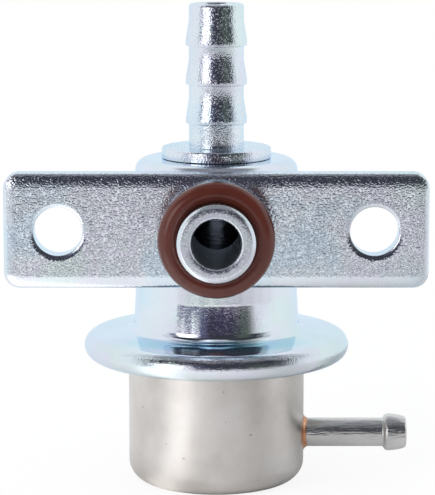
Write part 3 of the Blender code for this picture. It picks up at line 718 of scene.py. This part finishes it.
ZINC_HUES = [(0.15, (0.74, 0.84, 0.92)), (0.40, (0.82, 0.86, 0.90)), (0.60, (0.84, 0.84, 0.92)),
             (0.85, (0.80, 0.88, 0.88))]
ZINC_SHADE = (0.90, 0.90, 0.90)
FILM_TEAL = (0.44, 0.86, 1.0)
FILM_PALE = (0.60, 0.92, 1.0)
FILM_EDGE_Y = -0.007
FILM_FULL_Y = -0.014

# Effect: the plating's fine grain, which breaks reflections into specks; below the foot level it has
# a height of its own
plating_grain, grain_in, grain_out = effect_group(
    "plating_grain",
    [("Along X", 1.0), ("Along Z", 1.0), ("Scale", 4000.0), ("Height", 0.000012),
     ("Foot Height", 0.000012), ("Foot Level", -1.0)],
    [("Normal", "NodeSocketVector"), ("Specks", "NodeSocketFloat")],
)
grain_place = add_node(plating_grain, "ShaderNodeTexCoord").outputs["Object"]
grain_factors = add_node(plating_grain, "ShaderNodeCombineXYZ", Y=1.0)
plating_grain.links.new(grain_in["Along X"], grain_factors.inputs["X"])
plating_grain.links.new(grain_in["Along Z"], grain_factors.inputs["Z"])
grain_stretch = add_node(plating_grain, "ShaderNodeVectorMath", {"operation": "MULTIPLY"})
plating_grain.links.new(grain_place, grain_stretch.inputs[0])
plating_grain.links.new(grain_factors.outputs[0], grain_stretch.inputs[1])
grain_noise = add_node(plating_grain, "ShaderNodeTexNoise", Detail=0.6, Roughness=0.5)
plating_grain.links.new(grain_stretch.outputs[0], grain_noise.inputs["Vector"])
plating_grain.links.new(grain_in["Scale"], grain_noise.inputs["Scale"])
grain_bump = add_node(plating_grain, "ShaderNodeBump", Strength=1.0)
plating_grain.links.new(grain_noise.outputs["Fac"], grain_bump.inputs["Height"])
grain_foot = calculate(plating_grain, "LESS_THAN", split_xyz(plating_grain, grain_place)["Z"],
                       grain_in["Foot Level"])
grain_height = add_node(plating_grain, "ShaderNodeMix")
plating_grain.links.new(grain_foot, grain_height.inputs[0])
plating_grain.links.new(grain_in["Height"], grain_height.inputs[2])
plating_grain.links.new(grain_in["Foot Height"], grain_height.inputs[3])
plating_grain.links.new(grain_height.outputs[0], grain_bump.inputs["Distance"])
plating_grain.links.new(grain_bump.outputs[0], grain_out["Normal"])
grain_specks = add_node(plating_grain, "ShaderNodeMapRange", From_Min=0.50, From_Max=0.66)
plating_grain.links.new(grain_noise.outputs["Fac"], grain_specks.inputs["Value"])
plating_grain.links.new(grain_specks.outputs[0], grain_out["Specks"])


def zinc_material(name, smooth, dull, **grain_values):
    """Zinc plating with a blue passivation, smooth with dull specks; the metal under it sets both."""
    material, tree, shader = new_material(name, 1.0, smooth, specular_tint=ZINC_TINT)
    grain = place_effect(tree, plating_grain, **grain_values)
    roughness = add_node(tree, "ShaderNodeMapRange", To_Min=smooth, To_Max=dull)
    tree.links.new(grain["Specks"], roughness.inputs["Value"])
    tree.links.new(roughness.outputs[0], shader.inputs["Roughness"])
    tone = place_effect(tree, uneven_tone, Scale=70.0, Contrast=0.8)
    hue = ramp(tree, tone["Hue"], ZINC_HUES)
    shade = ramp(tree, tone["Tone"], even_stops((ZINC_SHADE, WHITE)))
    tree.links.new(blend_colour(tree, 1.0, hue, shade, "MULTIPLY"), shader.inputs["Base Color"])
    tree.links.new(grain["Normal"], shader.inputs["Normal"])
    return material


drawn_zinc = zinc_material("drawn_zinc_plate", 0.05, 0.12, Along_Z=1.8, Scale=4600.0, Height=0.0000035,
                           Foot_Height=0.000034, Foot_Level=0.02125)

# A thicker, bluer film of the passivation in the flange's hollow, at the front
tree = drawn_zinc.node_tree
place = split_xyz(tree, add_node(tree, "ShaderNodeTexCoord").outputs["Object"])
reach = calculate(tree, "SQRT", calculate(tree, "ADD", calculate(tree, "POWER", place["X"], 2.0),
                                          calculate(tree, "POWER", place["Y"], 2.0)))
out_from_wall = add_node(tree, "ShaderNodeMapRange", From_Min=HOUSING_RADIUS, From_Max=SEAM_REACH)
tree.links.new(reach, out_from_wall.inputs["Value"])
film = ramp(tree, out_from_wall.outputs[0],
            [(0.08, WHITE), (0.22, FILM_TEAL), (0.48, FILM_PALE), (0.68, WHITE)])
in_front = add_node(tree, "ShaderNodeMapRange", From_Min=FILM_EDGE_Y, From_Max=FILM_FULL_Y)
tree.links.new(place["Y"], in_front.inputs["Value"])
shader = tree.nodes["Principled BSDF"]
plain = shader.inputs["Base Color"].links[0].from_socket
filmed = blend_colour(tree, in_front.outputs[0], plain, film, "MULTIPLY")
tree.links.new(filmed, shader.inputs["Base Color"])

housing = start_profile("upper_housing_shell", PIPE_RADIUS + FIT, HOUSING_TOP)
line_to(HOUSING_RADIUS - HOUSING_SHOULDER, HOUSING_TOP)
bend(HOUSING_RADIUS - HOUSING_SHOULDER, HOUSING_TOP - HOUSING_SHOULDER, -90)
line_to(HOUSING_RADIUS, BELL_START)
line_to(HOUSING_RADIUS + BELL_OUT * BELL_EASE_SHARE, BELL_START - BELL_EASE)
line_to(HOUSING_RADIUS + BELL_OUT * BELL_MIDDLE_SHARE, BELL_MIDDLE)
line_to(HOUSING_RADIUS + BELL_OUT, FLANGE_TOP + HOUSING_BASE)
bend(HOUSING_RADIUS + HOUSING_BASE, FLANGE_TOP + HOUSING_BASE, 90)
line_to(FLANGE_CREASE, FLANGE_TOP - FLANGE_DROP * FLANGE_CREASE_SHARE)
line_to(SEAM_RADIUS, FLANGE_TOP - FLANGE_DROP)
bend(SEAM_RADIUS, SEAM_MIDDLE, -180, steps=24)
line_to(SEAM_RADIUS - SEAM_LIP, SEAM_BOTTOM)
line_to(SEAM_RADIUS - SEAM_LIP, SEAM_BOTTOM + HOUSING_WALL)
line_to(SEAM_RADIUS, SEAM_BOTTOM + HOUSING_WALL)
bend(SEAM_RADIUS, SEAM_MIDDLE, 180, steps=16)
line_to(HOUSING_RADIUS + HOUSING_BASE, FLANGE_TOP - HOUSING_WALL)
bend(HOUSING_RADIUS + HOUSING_BASE, FLANGE_TOP + HOUSING_BASE, -90)
line_to(HOUSING_RADIUS - HOUSING_WALL, HOUSING_TOP - HOUSING_SHOULDER)
bend(HOUSING_RADIUS - HOUSING_SHOULDER, HOUSING_TOP - HOUSING_SHOULDER, 90)
line_to(PIPE_RADIUS + FIT, HOUSING_TOP - HOUSING_WALL)
line_to(PIPE_RADIUS + FIT, HOUSING_TOP)
spin_profile(HOUSING_SIDES)
bore(housing, "inlet_hole", SPIGOT_RADIUS + FIT, INLET_HOLE_START, INLET_HOLE_END, "-Y", INLET_HEIGHT)
break_edges(housing, HOUSING_EDGE)
put_on(housing, drawn_zinc, "housing", "zinc_plate", "upper_housing")


# Mounting plate. Punched from thick steel strip, so its front edges and holes are rolled over, and
# zinc plated like the housing but with a rougher, duller face. Its back is cut to the housing's wall.

PLATE_WIDTH = 0.0580
PLATE_HEIGHT = 0.01575
PLATE_BACK = -0.01069
PLATE_THICKNESS = 0.0032
PLATE_CORNER = 0.0021
PLATE_EDGE = 0.00012
EDGE_ROLL_WIDTH = 0.0019
EDGE_ROLL_DEPTH = 0.0008
BOLT_HOLE_RADIUS = 0.00335
BOLT_ROLL_WIDTH = 0.0008
BOLT_ROLL_DEPTH = 0.00022
BOLT_PLACE = 0.02155
ROLL_STEPS = 10
PUNCH_START = 0.008
PUNCH_END = 0.016
SADDLE_BOTTOM = 0.025
SADDLE_TOP = 0.050
FACING_FRONT = -0.99
TOP_ROLL_LEVEL = INLET_HEIGHT + PLATE_HEIGHT / 2 - EDGE_ROLL_WIDTH

strip_zinc = zinc_material("strip_zinc_plate", 0.08, 0.24, Along_X=0.80, Scale=4700.0, Height=0.00008,
                           Foot_Height=0.000018, Foot_Level=TOP_ROLL_LEVEL)

bpy.ops.object.select_all(action="DESELECT")
plate_depth = PLATE_THICKNESS - EDGE_ROLL_DEPTH
bpy.ops.mesh.primitive_cube_add(size=1.0, location=(0.0, PLATE_BACK - plate_depth / 2, INLET_HEIGHT),
                                scale=(PLATE_WIDTH, plate_depth, PLATE_HEIGHT))
plate = bpy.context.object
plate.name = "mounting_plate_rolled"
bpy.ops.object.transform_apply(location=True, rotation=True, scale=True)
bpy.ops.object.mode_set(mode="EDIT")
bpy.ops.mesh.select_mode(type="EDGE")
bpy.ops.mesh.select_all(action="DESELECT")
plate_mesh = bmesh.from_edit_mesh(plate.data)
for edge in plate_mesh.edges:
    one, other = edge.verts
    edge.select_set(abs(one.co.y - other.co.y) > plate_depth / 2)
bpy.ops.mesh.bevel(offset=PLATE_CORNER, segments=8, affect="EDGES")
bpy.ops.mesh.select_mode(type="FACE")
bpy.ops.mesh.select_all(action="DESELECT")
plate_mesh = bmesh.from_edit_mesh(plate.data)
for face in plate_mesh.faces:
    face.select_set(face.normal.y < FACING_FRONT)
for step in range(ROLL_STEPS):
    before = math.radians(90.0 * step / ROLL_STEPS)
    after = math.radians(90.0 * (step + 1) / ROLL_STEPS)
    bpy.ops.mesh.inset(thickness=EDGE_ROLL_WIDTH * (math.cos(before) - math.cos(after)),
                       depth=EDGE_ROLL_DEPTH * (math.sin(after) - math.sin(before)))
bpy.ops.object.mode_set(mode="OBJECT")
bore(plate, "spigot_hole", SPIGOT_RADIUS + FIT, PUNCH_START, PUNCH_END, "-Y", INLET_HEIGHT)
plate_front = -PLATE_BACK + PLATE_THICKNESS
for side in (-1, 1):
    punch = start_profile("bolt_punch", 0.0, PUNCH_START)
    line_to(BOLT_HOLE_RADIUS, PUNCH_START)
    for step in range(ROLL_STEPS + 1):
        angle = math.radians(90.0 * step / ROLL_STEPS)
        line_to(BOLT_HOLE_RADIUS + BOLT_ROLL_WIDTH * (1.0 - math.cos(angle)),
                plate_front - BOLT_ROLL_DEPTH * (1.0 - math.sin(angle)))
    line_to(BOLT_HOLE_RADIUS + BOLT_ROLL_WIDTH, PUNCH_END)
    line_to(0.0, PUNCH_END)
    spin_profile(SMALL_SIDES)
    lay_along("-Y", INLET_HEIGHT)
    bpy.ops.object.mode_set(mode="EDIT")
    bpy.ops.transform.translate(value=(side * BOLT_PLACE, 0.0, 0.0))
    bpy.ops.object.mode_set(mode="OBJECT")
    subtract(plate, punch)
saddle = start_profile("saddle", 0.0, SADDLE_BOTTOM)
line_to(HOUSING_RADIUS + FIT, SADDLE_BOTTOM)
line_to(HOUSING_RADIUS + FIT, SADDLE_TOP)
line_to(0.0, SADDLE_TOP)
spin_profile(HOUSING_SIDES)
subtract(plate, saddle)
break_edges(plate, PLATE_EDGE)
put_on(plate, strip_zinc, "housing", "zinc_plate", "mounting_plate")


# Inlet spigot. Turned from steel bar and pushed through plate and housing, with a shoulder and a
# groove for the seal. It is zinc plated, but the plating doesn't reach down its bore, which is dull.

SPIGOT_INNER_END = 0.00893
SHOULDER_START = 0.01395
SHOULDER_RADIUS = 0.0073
SHOULDER_CHAMFER = 0.0003
SPIGOT_BORE = 0.00331
SPIGOT_TIP = 0.02489
SPIGOT_LAND = 0.0021
SPIGOT_CHAMFER = 0.0005
SPIGOT_EDGE = 0.00006
MOUTH_CHAMFER = 0.00025
BORE_TOLERANCE = 0.00002
BORE_SHADES = ((0.58, 0.62, 0.68), (0.76, 0.80, 0.85))
SEAL_SECTION = 0.0030
SEAL_RADIUS = 0.00785
GROOVE_RADIUS = SEAL_RADIUS - SEAL_SECTION - FIT
GROOVE_END = SPIGOT_TIP - SPIGOT_LAND
GROOVE_START = GROOVE_END - SEAL_SECTION - 2 * FIT

turned_zinc = zinc_material("turned_zinc_plate", 0.18, 0.32, Scale=4600.0, Height=0.000012)

spigot = start_profile("inlet_spigot_turned", SPIGOT_BORE, SPIGOT_INNER_END)
line_to(SPIGOT_RADIUS, SPIGOT_INNER_END)
line_to(SPIGOT_RADIUS, SHOULDER_START)
line_to(SHOULDER_RADIUS - SHOULDER_CHAMFER, SHOULDER_START)
line_to(SHOULDER_RADIUS, SHOULDER_START + SHOULDER_CHAMFER)
line_to(SHOULDER_RADIUS, GROOVE_START - SHOULDER_CHAMFER)
line_to(SHOULDER_RADIUS - SHOULDER_CHAMFER, GROOVE_START)
line_to(GROOVE_RADIUS, GROOVE_START)
line_to(GROOVE_RADIUS, GROOVE_END)
line_to(SPIGOT_RADIUS, GROOVE_END)
line_to(SPIGOT_RADIUS, SPIGOT_TIP - SPIGOT_CHAMFER)
line_to(SPIGOT_RADIUS - SPIGOT_CHAMFER, SPIGOT_TIP)
line_to(SPIGOT_BORE + MOUTH_CHAMFER, SPIGOT_TIP)
line_to(SPIGOT_BORE, SPIGOT_TIP - MOUTH_CHAMFER)
line_to(SPIGOT_BORE, SPIGOT_INNER_END)
spin_profile()
lay_along("-Y", INLET_HEIGHT)
break_edges(spigot, SPIGOT_EDGE)
put_on(spigot, turned_zinc, "housing", "zinc_plate", "inlet_spigot")

bore_steel = toned_material(
    "dull_bore_steel", 1.0, 0.36, BORE_SHADES, tone={"Scale": 220.0, "Contrast": 0.7}, effect=drawn_marks,
    relief={"Along_X": 0.4, "Along_Y": 0.4, "Along_Z": 4.0, "Scale": 800.0, "Height": 0.00010},
)
spigot.data.materials.append(bore_steel)
for face in spigot.data.polygons:
    across = math.hypot(face.center.x, face.center.z - INLET_HEIGHT)
    if across < SPIGOT_BORE + BORE_TOLERANCE and face.center.y > -SPIGOT_TIP + MOUTH_CHAMFER:
        face.material_index = 1


# Return fitting. One turned steel piece: inner pipe, collar and three hose barbs, zinc plated, with
# the inner pipe left dull. Inside the housing a copper fillet seals it.

PIPE_BORE = 0.0025
INNER_PIPE_END = 0.0291
COLLAR_RADIUS = 0.0077
COLLAR_BOTTOM = 0.04643
COLLAR_TOP = 0.04793
COLLAR_EDGE = 0.0003
COLLAR_FOOT_EDGE = 0.0001
BARB_RADIUS = 0.0043
BARB_PITCH = 0.00545
FIRST_BARB = 0.05128
BARB_LAND = 0.00075
BARB_FLARE = 0.0027
PIPE_TOP = 0.06803
PIPE_EDGE = 0.0005
BORE_CHAMFER = 0.00025
BARBS = 3
FITTING_EDGE = 0.00010
DULL_BELOW = COLLAR_BOTTOM - 0.0002
COPPER_SHADES = ((0.48, 0.20, 0.11), (0.72, 0.38, 0.22), (0.85, 0.60, 0.42))

fitting = start_profile("return_fitting_turned", PIPE_BORE, INNER_PIPE_END)
line_to(PIPE_RADIUS, INNER_PIPE_END)
line_to(PIPE_RADIUS, COLLAR_BOTTOM)
line_to(COLLAR_RADIUS - COLLAR_FOOT_EDGE, COLLAR_BOTTOM)
bend(COLLAR_RADIUS - COLLAR_FOOT_EDGE, COLLAR_BOTTOM + COLLAR_FOOT_EDGE, 90, steps=4)
line_to(COLLAR_RADIUS, COLLAR_TOP - COLLAR_EDGE)
bend(COLLAR_RADIUS - COLLAR_EDGE, COLLAR_TOP - COLLAR_EDGE, 90, steps=4)
line_to(PIPE_RADIUS, COLLAR_TOP)
for barb in range(BARBS):
    undercut = FIRST_BARB + BARB_PITCH * barb
    line_to(PIPE_RADIUS, undercut)
    line_to(BARB_RADIUS, undercut)
    line_to(BARB_RADIUS, undercut + BARB_LAND)
    line_to(PIPE_RADIUS, undercut + BARB_LAND + BARB_FLARE)
line_to(PIPE_RADIUS, PIPE_TOP - PIPE_EDGE)
bend(PIPE_RADIUS - PIPE_EDGE, PIPE_TOP - PIPE_EDGE, 90, steps=6)
line_to(PIPE_BORE + BORE_CHAMFER, PIPE_TOP)
line_to(PIPE_BORE, PIPE_TOP - BORE_CHAMFER)
line_to(PIPE_BORE, INNER_PIPE_END)
spin_profile()
break_edges(fitting, FITTING_EDGE, 3)
fitting_zinc = zinc_material("fitting_zinc_plate", 0.06, 0.42, Scale=4500.0, Height=0.000036)
put_on(fitting, fitting_zinc, "housing", "zinc_plate", "return_fitting")
fitting.data.materials.append(bore_steel)
for face in fitting.data.polygons:
    if face.center.z < DULL_BELOW:
        face.material_index = 1

copper = toned_material(
    "copper_braze", 1.0, 0.32, COPPER_SHADES, tone={"Scale": 500.0, "Contrast": 0.9},
    effect=plating_grain, relief={"Scale": 2500.0, "Height": 0.00003},
)
refinish(copper, "copper_braze", "return_braze")


# Vacuum nipple. Thin drawn pipe with a bulb that holds the hose, bright nickel plated, pushed
# through the can's wall and brazed with copper, which stands as a small fillet round its foot.

NIPPLE_BORE = 0.0011
NIPPLE_INNER_END = 0.0109
NIPPLE_REACH = 0.0272
NIPPLE_TIP = 0.00190
NIPPLE_MOUTH = 0.0002
NIPPLE_EDGE = 0.00015
TIP_ROUND = 0.0004
BULB_RADIUS = 0.00265
BULB_FOOT = 0.02365
BULB_FOOT_ROUND = 0.0004
BULB_FOOT_TURN = 65
BULB_PEAK = 0.02459
BULB_ROUND = 0.00064
BULB_BACK_ROUND = 0.00755
BULB_TAPER = 18
BRAZE_WIDTH = 0.00053
BRAZE_HEIGHT = 0.0005
BRAZE_ROOT = -0.0008
BRAZE_CURVE = 0.0002
BRAZE_TURN = 60
BRAZE_EDGE = 0.00008
BRIGHT_SHADES = ((0.70, 0.68, 0.66), (0.80, 0.79, 0.77))

bright_nickel = toned_material(
    "bright_nickel", 1.0, 0.26, BRIGHT_SHADES, tone={"Scale": 150.0, "Contrast": 0.6},
    effect=drawn_marks, relief={"Along_X": 0.12, "Scale": 3000.0, "Height": 0.00011},
)

nipple = start_profile("vacuum_nipple_pipe", NIPPLE_BORE, NIPPLE_INNER_END)
line_to(NIPPLE_RADIUS, NIPPLE_INNER_END)
line_to(NIPPLE_RADIUS, BULB_FOOT)
bend(NIPPLE_RADIUS + BULB_FOOT_ROUND, BULB_FOOT, -BULB_FOOT_TURN)
bend(BULB_RADIUS - BULB_ROUND, BULB_PEAK, BULB_FOOT_TURN)
bend(BULB_RADIUS - BULB_BACK_ROUND, BULB_PEAK, BULB_TAPER)
line_to(NIPPLE_TIP + TIP_ROUND * math.cos(math.radians(BULB_TAPER)),
        NIPPLE_REACH - TIP_ROUND + TIP_ROUND * math.sin(math.radians(BULB_TAPER)))
bend(NIPPLE_TIP, NIPPLE_REACH - TIP_ROUND, 90 - BULB_TAPER, steps=6)
line_to(NIPPLE_BORE + NIPPLE_MOUTH, NIPPLE_REACH)
line_to(NIPPLE_BORE, NIPPLE_REACH - NIPPLE_MOUTH)
line_to(NIPPLE_BORE, NIPPLE_INNER_END)
spin_profile(SMALL_SIDES)
lay_along("+X", NIPPLE_HEIGHT)
break_edges(nipple, NIPPLE_EDGE, 4)
put_on(nipple, bright_nickel, "housing", "nickel_plate", "vacuum_nipple")

braze = start_profile("nipple_braze_fillet", NIPPLE_RADIUS + FIT / 2, BRAZE_ROOT)
line_to(NIPPLE_RADIUS + BRAZE_HEIGHT, BRAZE_ROOT)
line_to(NIPPLE_RADIUS + BRAZE_HEIGHT, FIT)
bend(NIPPLE_RADIUS + BRAZE_HEIGHT + BRAZE_CURVE, BRAZE_WIDTH + BRAZE_CURVE, -BRAZE_TURN)
line_to(NIPPLE_RADIUS + FIT / 2, BRAZE_WIDTH)
line_to(NIPPLE_RADIUS + FIT / 2, BRAZE_ROOT)
spin_profile(SMALL_SIDES)
lay_along("+X", NIPPLE_HEIGHT)
for point in braze.data.vertices:
    point.co.x += math.sqrt(CAN_RADIUS ** 2 - point.co.y ** 2)
break_edges(braze, BRAZE_EDGE, 3)
put_on(braze, copper, "housing", "copper_braze", "nipple_braze")


# Seal ring. Moulded from reddish brown fluoro rubber, and stretched over the spigot's end into its
# groove, where it seals against the wall of the fuel rail's port.

SEAL_PLACE = GROOVE_END - FIT - SEAL_SECTION / 2
SEAL_SHADES = ((0.068, 0.013, 0.008), (0.096, 0.020, 0.012))

bpy.ops.object.select_all(action="DESELECT")
bpy.ops.mesh.primitive_torus_add(
    major_radius=SEAL_RADIUS - SEAL_SECTION / 2, minor_radius=SEAL_SECTION / 2,
    major_segments=SPIN_SIDES, minor_segments=48, location=(0.0, 0.0, SEAL_PLACE),
)
seal = bpy.context.object
seal.name = "inlet_seal_ring"
bpy.ops.object.transform_apply(location=True, rotation=True, scale=True)
lay_along("-Y", INLET_HEIGHT)
seal.data.shade_smooth()

seal_rubber = toned_material(
    "seal_rubber", 0.0, 0.21, SEAL_SHADES, tone={"Scale": 260.0, "Contrast": 0.5},
    effect=plating_grain, relief={"Scale": 3000.0, "Height": 0.000006},
)
put_on(seal, seal_rubber, "housing", "seal_rubber", "inlet_o_ring")


bpy.ops.object.select_all(action="DESELECT")
